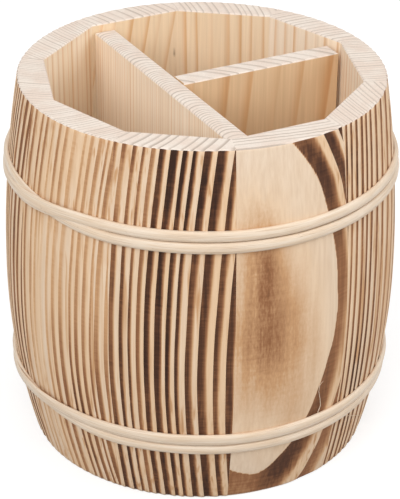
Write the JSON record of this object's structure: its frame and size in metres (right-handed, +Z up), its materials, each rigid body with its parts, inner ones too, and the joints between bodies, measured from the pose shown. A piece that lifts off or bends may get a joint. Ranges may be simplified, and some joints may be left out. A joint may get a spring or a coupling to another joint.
{
  "type": "utensil caddy",
  "caption": "Barrel-shaped coopered wooden utensil caddy with interlaced split-cane hoops and a loose T-shaped divider that makes separate compartments.",
  "frame": {"origin": "centre of the barrel's foot, on the surface the caddy rests on", "axes": "+Z up the barrel's axis; -Y is the front, square to a flat stave; +X points at the stave joint that the short divider runs to"},
  "size_m": [0.1469, 0.1463, 0.1425],
  "materials": {
    "charred_cedar": "charred and brushed outside, bare inside",
    "bare_cedar": "planed, bare",
    "split_cane": "split and shaved, bare"
  },
  "bodies": {
    "tub": {"stave_01": "charred_cedar", "stave_02": "charred_cedar", "stave_03": "charred_cedar", "stave_04": "charred_cedar", "stave_05": "charred_cedar", "stave_06": "charred_cedar", "stave_07": "charred_cedar", "stave_08": "charred_cedar", "stave_09": "charred_cedar", "stave_10": "charred_cedar", "floor_board_left": "bare_cedar", "floor_board_right": "bare_cedar", "upper_hoop_strip_a": "split_cane", "upper_hoop_strip_b": "split_cane", "lower_hoop_strip_a": "split_cane", "lower_hoop_strip_b": "split_cane"},
    "divider_insert": {"long_divider": "bare_cedar", "short_divider": "bare_cedar"}
  },
  "joints": [
    {"name": "insert_lift", "type": "slide", "parent": "tub", "child": "divider_insert", "axis": [0, 0, 1], "range_m": [0, 0.13]}
  ]
}
